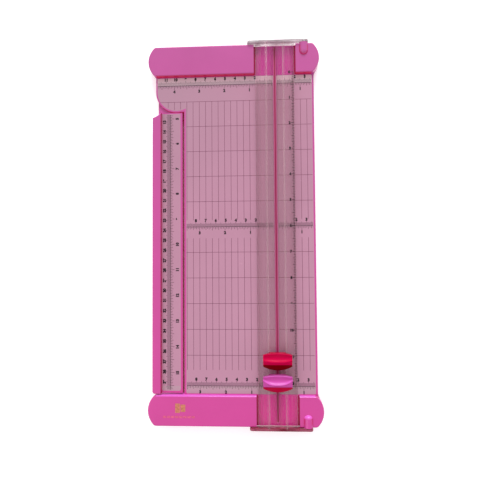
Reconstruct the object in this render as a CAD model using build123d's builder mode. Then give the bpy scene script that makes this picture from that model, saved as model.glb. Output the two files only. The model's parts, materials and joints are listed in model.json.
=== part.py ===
"""12-inch paper trimmer and scoring board, in millimetres.

The origin is on the table, in the middle of the board. +Y runs along the cutting line towards the
top fence, +X is towards the rail's hinge and +Z is up.
"""

import os

from build123d import *

os.makedirs("parts", exist_ok=True)

# ---------------------------------------------------------------- driving dimensions
INCH = 25.4

# board
fence_y = 6.25 * INCH  # inner face of each fence bar
bar_depth = 29.5
board_y = fence_y + bar_depth
bar_shoulder_x = 79.0  # where a bar's straight sides meet its rounded ends
bar_tip_x = 85.7
bar_corner_r = 4.0
bar_edge_r = 1.2
board_right_x = 80.5
bay_wall_x = -50.4  # side of the board beside the folded arm
flare_r = 14.0
skirt_z = 1.0  # lower rim, clear of the table on rubber feet
deck_z = 9.0  # working surface
bar_top_z = 15.0
deck_edge_r = 0.8
plate_t = 0.8
plate_rim = 1.9
plate_y = fence_y - 0.8
plate_corner_r = 1.5
lobe_plate_rim = 1.6  # board left visible around the lobe's plate
lobe_plate_reach = 12.0  # how far the plate carries on from the pivot into the deck's plate
bay_corner_r = 2.0
deck_under_z = 6.2  # underside of the working surface
bar_under_z = 12.5
trim_w, trim_d = 60.0, 20.0  # blocks that trim a sketch or a solid, larger than what they cut

# cutting line
cut_x = 41.5
strip_w = 2.2
strip_t = 2.0
strip_low_y, strip_high_y = -185.0, 187.0
strip_play = 0.05  # room beside the strip in its channel
strip_end_play = 0.1
groove_w = 1.1
groove_depth = 1.2
groove_end = 2.0  # solid strip left beyond each end of the groove
land_w = 0.5  # land between the strip and each plate
recess_low_x, recess_high_x = 20.8, 62.4  # gap in each bar for the rail

# hollow underside of the board
rib_t = 2.0
pocket_pitch_y, pocket_rows = 34.9, 9
deck_pocket_x, deck_pocket_w, deck_pocket_count = -5.6, 26.6, 3
side_pocket_x, side_pocket_w = 62.0, 30.5
recess_pocket_places = (30.5, 52.0)
recess_pocket_w = 14.0
bar_wall = 2.5
bar_pocket_x, bar_pocket_w, bar_pocket_count = -30.0, 29.5, 3
end_pocket_x, end_pocket_w = 73.0, 15.0

# ruler arm
pivot_x, pivot_y = -57.9, 143.9
lobe_r = 21.1
lobe_end_deg = 282.0
boss_r = 4.0
boss_z = 2.0
boss_hole_depth = 5.0
running_gap = 0.06
arm_low_x, arm_high_x = -81.2, -51.9
arm_low_y = -157.4
arm_end_gap = 21.6  # arm's far end to the pivot
arm_room_x, arm_room_y = 5.5, 19.4  # far corner of the room for the turning arm, from the pivot
arm_room_w, arm_room_l = 35.5, 49.4
arm_fence_x = pivot_x - (fence_y - pivot_y)  # in line with the top fence when swung out
arm_border = 2.0
arm_top_border = 1.0
arm_plate_gap = 0.25  # plate to the arm's fence
arm_corner_r = 2.5
arm_edge_r = 1.0
arm_rib_pitch, arm_pocket_count, arm_pocket_mid_y = 32.0, 7, -23.0
bar_end_gap = 0.8
tongue_r = 19.2
tongue_low_x, tongue_high_x = -76.7, -53.0
tongue_low_z, tongue_high_z = 2.3, 6.2
tongue_room_z = 6.5  # ceiling over the tongue
tongue_play = 0.5
tongue_root = 12.0  # how far the tongue runs into the arm
pivot_screw_r = 1.25
pivot_screw_l = 5.5
pivot_head_r = 2.8
washer_r, washer_t = 7.5, 0.8
screw_head_z = 0.35
drive_l, drive_w, drive_depth = 3.2, 0.6, 0.5  # cross drive

# feet
foot_r = 5.5
foot_seat_z = 2.2
foot_chamfer = 0.4
foot_boss_wall = 1.5
bar_feet = [(side * 72.0, end * 173.5) for side in (1, -1) for end in (1, -1)]
feet_places = bar_feet + [(62.0, 0), (-34.2, 0)]
arm_foot_place = (-66.8, -138.0)

# clear rail
rail_half_w = 19.05
rail_y = board_y + 0.4
cap_t = 2.6
leg_z, rail_top_z, track_z, lip_z = 9.4, 15.5, 15.0, 18.2
slot_half_w = 1.5
slot_y = 184.0
cap_low_x, cap_high_x = 14.3, 75.0
cap_low_z, cap_high_z = 8.0, 18.0
hinge_x, hinge_z = 70.4, 14.0
hinge_boss_r = 4.4
hinge_boss_y = 176.0
pin_r = 1.5
pin_depth = 9.0
pin_end_play = 0.2
pin_chamfer = 0.3
cap_corner_r = 3.0
cap_edge_r = 0.8
rib_in_x, rib_out_x = 7.4, 10.2  # ribs that the carriages run between
lip_t = 1.0
lip_reach = 1.2
spine_x, spine_z = 2.6, 10.2  # thick strips beside the slot
web_z = 13.5
outer_leg_x, inner_leg_x, inner_leg_z = 17.2, 14.2, 11.0
rail_chamfer = 0.5

# carriages
cutter_y = -124.3
scorer_y = -145.1
press_travel = 2.0
side_x = 13.8
side_front_y, side_back_y = -4.5, 6.1
nose_y, back_y = 8.9, 8.3  # reach of the curved front and back, from the carriage's centre
shoe_z, shoe_t = 15.25, 1.65
shoe_w, shoe_l = 16.6, 15.6
neck_w, neck_l = 14.2, 15.0
shoe_wall, shoe_wall_lap = 1.0, 0.4
skirt_play = 0.4
head_gap_w, head_gap_play = 5.8, 1.4
cap_gap = 0.3  # cap to the shoe's nose
crease_drop = 0.5
nose_lead = 2.0
through_cut = 8.0  # passes the shoe's low wall
housing_z = 18.5
floor_z = 19.4
skirt_low_z = floor_z + press_travel + 0.2
cap_ceiling_z = 24.3
cap_top_z = 28.5
crease_z = 25.0
cap_front_y = -2.6
cap_wall = 1.0
ridge_y = -0.9
dish_x, dish_side_y, dish_front_y, dish_back_y = 12.5, 2.9, -0.2, 5.2
side_back_bow = 2.0
dish_depth, dish_taper = 1.8, 25.0
holder_y = 2.4  # middle of the holder, from the carriage's centre
holder_half_w, holder_half_l = 1.0, 3.6
holder_low_z = 11.6
holder_slot_play_w, holder_slot_play_l = 0.6, 0.8
holder_head_t = 1.4
holder_head_w, holder_head_lap, holder_head_r = 5.0, 0.6, 1.5
tip_z = 10.2
tip_top_z = 17.0
tip_half_l = 3.4
tip_pin_z, tip_pin_r = 15.0, 0.8
blade_corner_z = 13.0
tip_corner_z = 13.2
tip_nose_y, tip_nose_z = 1.6, 11.2
blade_t = 0.4
scorer_tip_t = 0.8
spring_x, spring_r, spring_wire_r = 4.4, 1.6, 0.25
spring_seat_z = 16.0
spring_play = 0.15
spring_turns = 5

pieces = []


def keep(part, label):
    """Name a finished piece and put it on the list of files to write."""
    part.label = label
    pieces.append(part)


# ---------------------------------------------------------------- base tray
bar_arc_r = ((bar_depth / 2) ** 2 + (bar_tip_x - bar_shoulder_x) ** 2) / (2 * (bar_tip_x - bar_shoulder_x))
bar_mid_y = fence_y + bar_depth / 2
lobe_end = Vector(lobe_r, 0).rotate(Axis.Z, lobe_end_deg) + Vector(pivot_x, pivot_y)

with BuildSketch() as bar_outline:
    with BuildLine():
        Polyline((-bar_shoulder_x, fence_y), (bar_shoulder_x, fence_y))
        ThreePointArc((bar_shoulder_x, fence_y), (bar_tip_x, bar_mid_y), (bar_shoulder_x, board_y))
        Polyline((bar_shoulder_x, board_y), (-bar_shoulder_x, board_y))
        ThreePointArc((-bar_shoulder_x, board_y), (-bar_tip_x, bar_mid_y), (-bar_shoulder_x, fence_y))
    make_face()
    fillet(bar_outline.vertices().group_by(Axis.Y)[-1], radius=bar_corner_r)
    mirror(about=Plane.XZ)

with BuildSketch() as lobe_outline:
    with BuildLine():
        Polyline(
            (bay_wall_x, lobe_end.Y),
            (bay_wall_x, fence_y),
            (pivot_x - lobe_r, fence_y),
            (pivot_x - lobe_r, pivot_y),
        )
        CenterArc((pivot_x, pivot_y), lobe_r, 180, lobe_end_deg - 180)
        Polyline((lobe_end.X, lobe_end.Y), (bay_wall_x, lobe_end.Y))
    make_face()

with BuildSketch() as left_plate_outline:
    plate_edge_x = cut_x - strip_w / 2 - land_w
    lobe_plate_r = lobe_r - lobe_plate_rim
    with Locations((bay_wall_x + arm_border, 0)):
        Rectangle(plate_edge_x - bay_wall_x - arm_border, 2 * plate_y, align=(Align.MIN, Align.CENTER))
    with Locations((pivot_x, pivot_y)):
        Circle(lobe_plate_r)
    with Locations((pivot_x - lobe_plate_r, plate_y)):
        Rectangle(lobe_plate_r + lobe_plate_reach, plate_y - pivot_y, align=(Align.MIN, Align.MAX))
    with Locations((pivot_x, plate_y)):
        Rectangle(trim_w, trim_d, align=(Align.CENTER, Align.MIN), mode=Mode.SUBTRACT)
    fillet(left_plate_outline.vertices().group_by(Axis.Y)[0], radius=plate_corner_r)

with BuildSketch() as right_plate_outline:
    right_plate_x = cut_x + strip_w / 2 + land_w
    with Locations((right_plate_x, 0)):
        Rectangle(board_right_x - plate_rim - right_plate_x, 2 * plate_y, align=(Align.MIN, Align.CENTER))
    fillet(right_plate_outline.vertices(), radius=plate_corner_r)

with BuildPart() as base_tray:
    with BuildSketch(Plane.XY.offset(skirt_z)):
        with Locations(((bay_wall_x + board_right_x) / 2, 0)):
            Rectangle(board_right_x - bay_wall_x, 2 * fence_y + bar_depth)
        add(bar_outline.sketch)
        add(lobe_outline.sketch)
    extrude(amount=deck_z - skirt_z)
    uprights = base_tray.edges().filter_by(Axis.Z)
    fillet(uprights.filter_by(lambda e: abs(e.center().X - board_right_x) < 0.01), radius=flare_r)
    fillet(uprights.sort_by_distance((bay_wall_x, -fence_y, deck_z))[0], radius=bay_corner_r)
    fillet(base_tray.edges().group_by(Axis.Z)[-1], radius=deck_edge_r)

    with BuildSketch(Plane.XY.offset(skirt_z)):
        add(bar_outline.sketch)
    extrude(amount=bar_top_z - skirt_z)
    fillet(base_tray.edges().group_by(Axis.Z)[-1], radius=bar_edge_r)

    # gap in each bar for the rail
    with BuildSketch(Plane.XY.offset(deck_z)):
        with Locations(((recess_low_x + recess_high_x) / 2, 0)):
            with GridLocations(0, 2 * bar_mid_y, 1, 2):
                Rectangle(recess_high_x - recess_low_x, bar_depth + 2 * deck_edge_r)
    extrude(amount=bar_top_z, mode=Mode.SUBTRACT)

    # knuckles that carry the hinge pins
    for end in (1, -1):
        knuckle_plane = Plane((hinge_x, end * board_y, hinge_z), x_dir=(1, 0, 0), z_dir=(0, -end, 0))
        with BuildSketch(knuckle_plane):
            Circle(hinge_boss_r)
        extrude(amount=board_y - hinge_boss_y - hinge_boss_r)
        with Locations((hinge_x, end * (hinge_boss_y + hinge_boss_r), hinge_z)):
            Sphere(hinge_boss_r)

    # channel for the cutting strip, recesses for the plates
    with BuildSketch(Plane.XY.offset(deck_z - strip_t)):
        with Locations((cut_x, (strip_low_y + strip_high_y) / 2)):
            Rectangle(strip_w + 2 * strip_play, strip_high_y - strip_low_y)
    extrude(amount=strip_t, mode=Mode.SUBTRACT)
    with BuildSketch(Plane.XY.offset(deck_z - plate_t)):
        add(left_plate_outline.sketch)
        add(right_plate_outline.sketch)
    extrude(amount=plate_t, mode=Mode.SUBTRACT)

    # hollow underside: ribbed pockets under the deck and in the bars
    with BuildSketch(Plane.XY.offset(skirt_z)):
        with Locations((deck_pocket_x, 0)):
            with GridLocations(deck_pocket_w + rib_t, pocket_pitch_y, deck_pocket_count, pocket_rows):
                Rectangle(deck_pocket_w, pocket_pitch_y - rib_t)
        with Locations((side_pocket_x, 0)):
            with GridLocations(0, pocket_pitch_y, 1, pocket_rows):
                Rectangle(side_pocket_w, pocket_pitch_y - rib_t)
        with Locations(*[(x, 0) for x in recess_pocket_places]):
            with GridLocations(0, 2 * bar_mid_y, 1, 2):
                Rectangle(recess_pocket_w, bar_depth - 2 * bar_wall)
    extrude(amount=deck_under_z - skirt_z, mode=Mode.SUBTRACT)
    with BuildSketch(Plane.XY.offset(skirt_z)):
        with Locations((bar_pocket_x, 0)):
            with GridLocations(bar_pocket_w + rib_t, 2 * bar_mid_y, bar_pocket_count, 2):
                Rectangle(bar_pocket_w, bar_depth - 2 * bar_wall)
    extrude(amount=bar_under_z - skirt_z, mode=Mode.SUBTRACT)
    with BuildSketch(Plane.XY.offset(skirt_z)):
        with Locations((end_pocket_x, 0)):
            with GridLocations(0, 2 * bar_mid_y, 1, 2):
                Rectangle(end_pocket_w, bar_depth - 2 * bar_wall)
    extrude(amount=deck_z - skirt_z, mode=Mode.SUBTRACT)

    # room for the arm's tongue under the lobe, and the hollow boss that it turns on
    with BuildSketch(Plane.XY.offset(skirt_z)):
        with Locations((pivot_x, pivot_y)):
            Circle(tongue_r + tongue_play)
        with Locations((pivot_x + arm_room_x, pivot_y + arm_room_y)):
            Rectangle(arm_room_w, arm_room_l, align=(Align.MAX, Align.MAX))
    extrude(amount=tongue_room_z - skirt_z, mode=Mode.SUBTRACT)
    with BuildSketch(Plane.XY.offset(boss_z)):
        with Locations((pivot_x, pivot_y)):
            Circle(boss_r)
    extrude(amount=tongue_room_z - boss_z)
    with BuildSketch(Plane.XY.offset(boss_z)):
        with Locations((pivot_x, pivot_y)):
            Circle(pivot_screw_r)
    extrude(amount=boss_hole_depth, mode=Mode.SUBTRACT)

    # seats for the feet
    with BuildSketch(Plane.XY.offset(skirt_z)):
        with Locations(*feet_places):
            Circle(foot_r + foot_boss_wall)
    extrude(amount=deck_under_z - skirt_z)
    with BuildSketch(Plane.XY.offset(skirt_z)):
        with Locations(*bar_feet):
            Circle(foot_r + foot_boss_wall)
    extrude(amount=bar_under_z - skirt_z)
    with BuildSketch(Plane.XY.offset(skirt_z)):
        with Locations(*feet_places):
            Circle(foot_r)
    extrude(amount=foot_seat_z - skirt_z, mode=Mode.SUBTRACT)

    # blind holes for the hinge pins
    for end in (1, -1):
        with BuildSketch(Plane((hinge_x, end * board_y, hinge_z), x_dir=(1, 0, 0), z_dir=(0, -end, 0))):
            Circle(pin_r)
        extrude(amount=pin_depth, mode=Mode.SUBTRACT)

keep(base_tray.part, "base_tray")

# ---------------------------------------------------------------- plates, strip and feet
with BuildPart() as grid_plate_left:
    with BuildSketch(Plane.XY.offset(deck_z - plate_t)):
        add(left_plate_outline.sketch)
    extrude(amount=plate_t)
keep(grid_plate_left.part, "grid_plate_left")

with BuildPart() as grid_plate_right:
    with BuildSketch(Plane.XY.offset(deck_z - plate_t)):
        add(right_plate_outline.sketch)
    extrude(amount=plate_t)
keep(grid_plate_right.part, "grid_plate_right")

with BuildPart() as cutting_strip:
    with BuildSketch(Plane.XY.offset(deck_z - strip_t)):
        with Locations((cut_x, (strip_low_y + strip_high_y) / 2)):
            Rectangle(strip_w, strip_high_y - strip_low_y - 2 * strip_end_play)
    extrude(amount=strip_t)
    with BuildSketch(Plane.XY.offset(deck_z - groove_depth)):
        with Locations((cut_x, (strip_low_y + strip_high_y) / 2)):
            Rectangle(groove_w, strip_high_y - strip_low_y - 2 * groove_end)
    extrude(amount=groove_depth, mode=Mode.SUBTRACT)
keep(cutting_strip.part, "cutting_strip")

with BuildPart() as base_feet:
    with BuildSketch():
        with Locations(*feet_places):
            Circle(foot_r)
    extrude(amount=foot_seat_z)
    chamfer(base_feet.edges().group_by(Axis.Z)[0], length=foot_chamfer)
keep(base_feet.part, "base_feet")

# ---------------------------------------------------------------- ruler arm
# The bar's rounded end as the arm meets it when swung out, turned back to the folded place.
bar_centre = Vector(bar_tip_x - bar_arc_r, bar_mid_y)
end_from_pivot = Vector(-bar_centre.X, bar_centre.Y) - Vector(pivot_x, pivot_y)
scallop_centre = Vector(pivot_x, pivot_y) + end_from_pivot.rotate(Axis.Z, 90)
arm_top_y = pivot_y - arm_end_gap

with BuildSketch() as arm_outline:
    with Locations((arm_low_x, arm_low_y)):
        Rectangle(arm_high_x - arm_low_x, arm_top_y - arm_low_y, align=(Align.MIN, Align.MIN))
    fillet(arm_outline.vertices().sort_by_distance((arm_low_x, arm_low_y))[0], radius=arm_corner_r)
    with Locations((scallop_centre.X, scallop_centre.Y)):
        Circle(bar_arc_r + bar_end_gap, mode=Mode.SUBTRACT)

with BuildSketch() as arm_plate_outline:
    with Locations((arm_fence_x + arm_plate_gap, arm_low_y + arm_border)):
        Rectangle(
            arm_high_x - arm_border - arm_fence_x - arm_plate_gap,
            arm_top_y - arm_low_y - arm_border - arm_top_border,
            align=(Align.MIN, Align.MIN),
        )
    fillet(arm_plate_outline.vertices().group_by(Axis.Y)[0], radius=plate_corner_r)

with BuildPart() as swing_arm:
    with BuildSketch(Plane.XY.offset(skirt_z)):
        add(arm_outline.sketch)
    extrude(amount=deck_z - skirt_z)
    with BuildSketch(Plane.XY.offset(deck_z)):
        add(arm_outline.sketch)
        with Locations((arm_fence_x, 0)):
            Rectangle(trim_w, 4 * fence_y, align=(Align.MIN, Align.CENTER), mode=Mode.SUBTRACT)
    extrude(amount=bar_top_z - deck_z)
    fillet(swing_arm.edges().group_by(Axis.Z)[-1], radius=arm_edge_r)
    with BuildSketch(Plane.XY.offset(deck_z - plate_t)):
        add(arm_plate_outline.sketch)
    extrude(amount=plate_t, mode=Mode.SUBTRACT)

    # hollow underside, with ribs across
    with BuildSketch(Plane.XY.offset(skirt_z)):
        with Locations(((arm_low_x + arm_high_x) / 2, arm_pocket_mid_y)):
            with GridLocations(0, arm_rib_pitch, 1, arm_pocket_count):
                Rectangle(arm_high_x - arm_low_x - 2 * bar_wall, arm_rib_pitch - rib_t)
    extrude(amount=deck_under_z - skirt_z, mode=Mode.SUBTRACT)
    with BuildSketch(Plane.XY.offset(skirt_z)):
        with Locations(arm_foot_place):
            Circle(foot_r)
    extrude(amount=foot_seat_z - skirt_z, mode=Mode.SUBTRACT)

    # tongue that runs under the board's lobe
    with BuildSketch(Plane.XY.offset(tongue_low_z)):
        with Locations((pivot_x, pivot_y)):
            Circle(tongue_r)
        with Locations((tongue_low_x, pivot_y)):
            Rectangle(
                tongue_high_x - tongue_low_x,
                arm_end_gap + tongue_root,
                align=(Align.MIN, Align.MAX),
            )
        with Locations((pivot_x, pivot_y)):
            Circle(boss_r + running_gap, mode=Mode.SUBTRACT)
    extrude(amount=tongue_high_z - tongue_low_z)
keep(swing_arm.part, "swing_arm")

with BuildPart() as arm_scale_plate:
    with BuildSketch(Plane.XY.offset(deck_z - plate_t)):
        add(arm_plate_outline.sketch)
    extrude(amount=plate_t)
keep(arm_scale_plate.part, "arm_scale_plate")

with BuildPart() as arm_foot:
    with BuildSketch():
        with Locations(arm_foot_place):
            Circle(foot_r)
    extrude(amount=foot_seat_z)
    chamfer(arm_foot.edges().group_by(Axis.Z)[0], length=foot_chamfer)
keep(arm_foot.part, "arm_foot")

with BuildPart() as arm_pivot_washer:
    with BuildSketch(Plane.XY.offset(boss_z - washer_t)):
        with Locations((pivot_x, pivot_y)):
            Circle(washer_r)
            Circle(pivot_screw_r + running_gap, mode=Mode.SUBTRACT)
    extrude(amount=washer_t)
keep(arm_pivot_washer.part, "arm_pivot_washer")

with BuildPart() as arm_pivot_screw:
    with BuildSketch(Plane.XY.offset(screw_head_z)):
        with Locations((pivot_x, pivot_y)):
            Circle(pivot_head_r)
    extrude(amount=boss_z - washer_t - screw_head_z)
    fillet(arm_pivot_screw.edges().group_by(Axis.Z)[0], radius=foot_chamfer)
    with BuildSketch(Plane.XY.offset(boss_z - washer_t)):
        with Locations((pivot_x, pivot_y)):
            Circle(pivot_screw_r)
    extrude(amount=pivot_screw_l)
    with BuildSketch(Plane.XY.offset(screw_head_z)):
        with Locations((pivot_x, pivot_y)):
            Rectangle(drive_l, drive_w)
            Rectangle(drive_w, drive_l)
    extrude(amount=drive_depth, mode=Mode.SUBTRACT)
keep(arm_pivot_screw.part, "arm_pivot_screw")

# ---------------------------------------------------------------- clear rail
rail_plane = Plane((cut_x, rail_y, 0), x_dir=(1, 0, 0), z_dir=(0, -1, 0))

with BuildPart() as guide_rail:
    with BuildSketch(rail_plane):
        with BuildLine():
            Polyline(
                (0, spine_z),
                (spine_x, spine_z),
                (spine_x, web_z),
                (inner_leg_x, web_z),
                (inner_leg_x, inner_leg_z),
                (outer_leg_x, inner_leg_z),
                (outer_leg_x, leg_z),
                (rail_half_w, leg_z),
                (rail_half_w, rail_top_z - rail_chamfer),
                (rail_half_w - rail_chamfer, rail_top_z),
                (rib_out_x, rail_top_z),
                (rib_out_x, lip_z),
                (rib_in_x, lip_z),
                (rib_in_x, lip_z - lip_t),
                (rib_in_x + lip_reach, lip_z - lip_t),
                (rib_in_x + lip_reach, track_z),
                (0, track_z),
                close=True,
            )
        make_face()
        mirror(about=Plane.YZ)
    extrude(amount=2 * rail_y)
    with BuildSketch(Plane.XY.offset(track_z)):
        with Locations((cut_x, 0)):
            SlotOverall(2 * slot_y, 2 * slot_half_w, rotation=90)
    extrude(amount=-track_z, mode=Mode.SUBTRACT)
keep(guide_rail.part, "guide_rail")

for end, name in ((1, "rail_end_cap_top"), (-1, "rail_end_cap_bottom")):
    with BuildPart() as rail_end_cap:
        with BuildSketch(Plane((0, end * rail_y, 0), x_dir=(-end, 0, 0), z_dir=(0, end, 0))):
            with Locations((-end * (cap_low_x + cap_high_x) / 2, (cap_low_z + cap_high_z) / 2)):
                RectangleRounded(cap_high_x - cap_low_x, cap_high_z - cap_low_z, cap_corner_r)
            with Locations((-end * hinge_x, hinge_z)):
                Circle(pin_r + running_gap, mode=Mode.SUBTRACT)
        extrude(amount=cap_t)
        outer_rim = rail_end_cap.faces().sort_by(Axis.Y)[-1 if end > 0 else 0].outer_wire().edges()
        fillet(outer_rim, radius=cap_edge_r)
    keep(rail_end_cap.part, name)

for end, name in ((1, "hinge_pin_top"), (-1, "hinge_pin_bottom")):
    with BuildPart() as hinge_pin:
        with BuildSketch(Plane((hinge_x, end * (rail_y + cap_t), hinge_z), z_dir=(0, -end, 0))):
            Circle(pin_r)
        extrude(amount=rail_y + cap_t - board_y + pin_depth - pin_end_play)
        chamfer(hinge_pin.edges(), length=pin_chamfer)
    keep(hinge_pin.part, name)

# ---------------------------------------------------------------- carriages
with BuildSketch() as housing_outline:
    with BuildLine():
        Polyline((-side_x, side_back_y), (-side_x, side_front_y))
        ThreePointArc((-side_x, side_front_y), (0, -nose_y), (side_x, side_front_y))
        Polyline((side_x, side_front_y), (side_x, side_back_y))
        ThreePointArc((side_x, side_back_y), (0, back_y), (-side_x, side_back_y))
    make_face()

with BuildSketch() as cap_outline:
    add(housing_outline.sketch)
    with Locations((0, cap_front_y)):
        Rectangle(trim_w, trim_d, align=(Align.CENTER, Align.MAX), mode=Mode.SUBTRACT)

with BuildSketch() as cap_hollow:
    add(cap_outline.sketch)
    offset(amount=-cap_wall, kind=Kind.INTERSECTION, mode=Mode.REPLACE)

with BuildSketch() as dish_outline:
    with BuildLine():
        ThreePointArc((-dish_x, dish_side_y), (0, dish_front_y), (dish_x, dish_side_y))
        Polyline((dish_x, dish_side_y), (dish_x, dish_back_y))
        ThreePointArc((dish_x, dish_back_y), (0, dish_back_y + side_back_bow), (-dish_x, dish_back_y))
        Polyline((-dish_x, dish_back_y), (-dish_x, dish_side_y))
    make_face()


def make_carriage(kind, holder_name, tip_name, centre_y, tip_thickness, tip_profile):
    """One carriage: shoe, sprung cap, holder, tip and pin, centred on the cutting line at centre_y."""

    def level(z):
        return Plane((cut_x, centre_y, z))

    side_plane = Plane((cut_x, centre_y, 0), x_dir=(0, 1, 0), z_dir=(1, 0, 0))
    tip_plane = Plane((cut_x, centre_y + holder_y, 0), x_dir=(0, 1, 0), z_dir=(1, 0, 0))

    with BuildPart() as shoe:
        with BuildSketch(level(shoe_z)):
            Rectangle(shoe_w, shoe_l)
        extrude(amount=shoe_t)
        with BuildSketch(level(shoe_z + shoe_t)):
            Rectangle(neck_w, neck_l)
        extrude(amount=housing_z - shoe_z - shoe_t)
        with BuildSketch(level(housing_z)):
            add(housing_outline.sketch)
        extrude(amount=floor_z - housing_z)
        # low wall that the cap's skirt hides
        with BuildSketch(level(floor_z)):
            add(cap_hollow.sketch)
            offset(amount=-skirt_play, kind=Kind.INTERSECTION, mode=Mode.REPLACE)
            offset(amount=-shoe_wall, kind=Kind.INTERSECTION, mode=Mode.SUBTRACT)
        extrude(amount=skirt_low_z + shoe_wall_lap - floor_z)
        # gap in that wall for the holder's head
        with BuildSketch(level(floor_z)):
            with Locations((0, holder_y)):
                Rectangle(head_gap_w, 2 * holder_half_l + head_gap_play)
        extrude(amount=through_cut, mode=Mode.SUBTRACT)
        # sloping nose in front of the cap
        with BuildSketch(level(floor_z)):
            add(housing_outline.sketch)
            with Locations((0, cap_front_y - cap_gap)):
                Rectangle(trim_w, trim_d, align=(Align.CENTER, Align.MIN), mode=Mode.SUBTRACT)
        extrude(amount=crease_z - crease_drop - floor_z)
        with BuildSketch(side_plane):
            Polygon(
                (cap_front_y - cap_gap, crease_z - crease_drop),
                (-nose_y - nose_lead, crease_z + nose_lead),
                (-nose_y - nose_lead, housing_z),
                (-nose_y, housing_z),
                align=None,
            )
        extrude(amount=trim_d, both=True, mode=Mode.SUBTRACT)
        # slot for the holder and seats for the springs
        with BuildSketch(level(shoe_z)):
            with Locations((0, holder_y)):
                Rectangle(2 * holder_half_w + holder_slot_play_w, 2 * holder_half_l + holder_slot_play_l)
        extrude(amount=through_cut, mode=Mode.SUBTRACT)
        with BuildSketch(level(spring_seat_z)):
            with Locations((0, holder_y)):
                with GridLocations(2 * spring_x, 0, 2, 1):
                    Circle(spring_r + spring_wire_r + spring_play)
        extrude(amount=through_cut, mode=Mode.SUBTRACT)
    keep(shoe.part, kind + "_shoe")

    with BuildPart() as cap:
        with BuildSketch(level(skirt_low_z)):
            add(cap_outline.sketch)
        extrude(amount=cap_top_z - skirt_low_z)
        with BuildSketch(level(cap_top_z)):
            add(dish_outline.sketch)
        extrude(amount=-dish_depth, taper=dish_taper, mode=Mode.SUBTRACT)
        with BuildSketch(side_plane):
            Polygon(
                (ridge_y, cap_top_z),
                (cap_front_y, crease_z),
                (-nose_y, crease_z),
                (-nose_y, cap_top_z),
                align=None,
            )
        extrude(amount=trim_d, both=True, mode=Mode.SUBTRACT)
        with BuildSketch(level(skirt_low_z)):
            add(cap_hollow.sketch)
        extrude(amount=cap_ceiling_z - skirt_low_z, mode=Mode.SUBTRACT)
    keep(cap.part, kind + "_cap")

    with BuildPart() as holder:
        with BuildSketch(level(holder_low_z)):
            with Locations((0, holder_y)):
                Rectangle(2 * holder_half_w, 2 * holder_half_l)
        extrude(amount=cap_ceiling_z - holder_low_z)
        with BuildSketch(level(cap_ceiling_z - holder_head_t)):
            with Locations((0, holder_y)):
                RectangleRounded(holder_head_w, 2 * holder_half_l + holder_head_lap, holder_head_r)
        extrude(amount=holder_head_t)
        with BuildSketch(tip_plane):
            with Locations((0, holder_low_z)):
                Rectangle(2 * tip_half_l, tip_top_z - holder_low_z, align=(Align.CENTER, Align.MIN))
        extrude(amount=tip_thickness / 2, both=True, mode=Mode.SUBTRACT)
        with BuildSketch(tip_plane):
            with Locations((0, tip_pin_z)):
                Circle(tip_pin_r)
        extrude(amount=holder_half_w, both=True, mode=Mode.SUBTRACT)
    keep(holder.part, holder_name)

    with BuildPart() as tip:
        with BuildSketch(tip_plane):
            add(tip_profile)
            with Locations((0, tip_pin_z)):
                Circle(tip_pin_r, mode=Mode.SUBTRACT)
        extrude(amount=tip_thickness / 2, both=True)
    keep(tip.part, tip_name)

    with BuildPart() as tip_pin:
        with BuildSketch(tip_plane):
            with Locations((0, tip_pin_z)):
                Circle(tip_pin_r)
        extrude(amount=holder_half_w, both=True)
    keep(tip_pin.part, tip_name + "_pin")

    with BuildPart() as springs:
        for side in (1, -1):
            foot = Vector(cut_x + side * spring_x, centre_y + holder_y, spring_seat_z + spring_wire_r)
            height = cap_ceiling_z - spring_seat_z - 2 * spring_wire_r
            pitch = height / spring_turns
            coil = Helix(pitch=pitch, height=height, radius=spring_r, center=foot, mode=Mode.PRIVATE)
            with BuildSketch(Plane(origin=coil @ 0, z_dir=coil % 0)):
                Circle(spring_wire_r)
            sweep(path=coil)
    keep(springs.part, kind + "_springs")


with BuildSketch() as blade_profile:
    Polygon(
        (-tip_half_l, tip_top_z),
        (-tip_half_l, blade_corner_z),
        (0, tip_z),
        (tip_half_l, blade_corner_z),
        (tip_half_l, tip_top_z),
        align=None,
    )

with BuildSketch() as scoring_profile:
    with BuildLine():
        Polyline((tip_half_l, tip_top_z), (-tip_half_l, tip_top_z), (-tip_half_l, tip_corner_z))
        Polyline((-tip_half_l, tip_corner_z), (-tip_nose_y, tip_nose_z))
        ThreePointArc((-tip_nose_y, tip_nose_z), (0, tip_z), (tip_nose_y, tip_nose_z))
        Polyline((tip_nose_y, tip_nose_z), (tip_half_l, tip_corner_z), (tip_half_l, tip_top_z))
    make_face()

make_carriage("cutter", "cutter_blade_holder", "cutter_blade", cutter_y, blade_t, blade_profile.sketch)
make_carriage("scorer", "scorer_tip_holder", "scorer_tip", scorer_y, scorer_tip_t, scoring_profile.sketch)

for piece in pieces:
    export_step(piece, f"parts/{piece.label}.step")
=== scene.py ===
"""Looks of a 12-inch paper trimmer and scoring board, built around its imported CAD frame."""

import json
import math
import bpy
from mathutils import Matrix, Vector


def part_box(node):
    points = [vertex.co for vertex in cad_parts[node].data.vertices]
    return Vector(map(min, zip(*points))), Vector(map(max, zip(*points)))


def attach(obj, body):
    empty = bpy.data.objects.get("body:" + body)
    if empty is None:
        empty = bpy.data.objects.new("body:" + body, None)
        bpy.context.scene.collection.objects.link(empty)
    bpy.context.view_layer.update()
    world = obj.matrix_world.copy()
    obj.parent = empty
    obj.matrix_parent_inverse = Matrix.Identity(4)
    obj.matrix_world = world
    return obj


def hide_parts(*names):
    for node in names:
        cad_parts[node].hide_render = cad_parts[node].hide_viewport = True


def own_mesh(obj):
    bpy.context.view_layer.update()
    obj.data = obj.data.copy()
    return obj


bl_info = {
    "name": "Scoring Board",
    "version": (1, 0, 0),
    "blender": (4, 5, 0),
    "location": "View3D > Sidebar > Scoring Board",
    "description": "Printed scales, carriages, clear rail and finishes of a paper trimmer and scoring board",
    "category": "Object",
}

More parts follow.
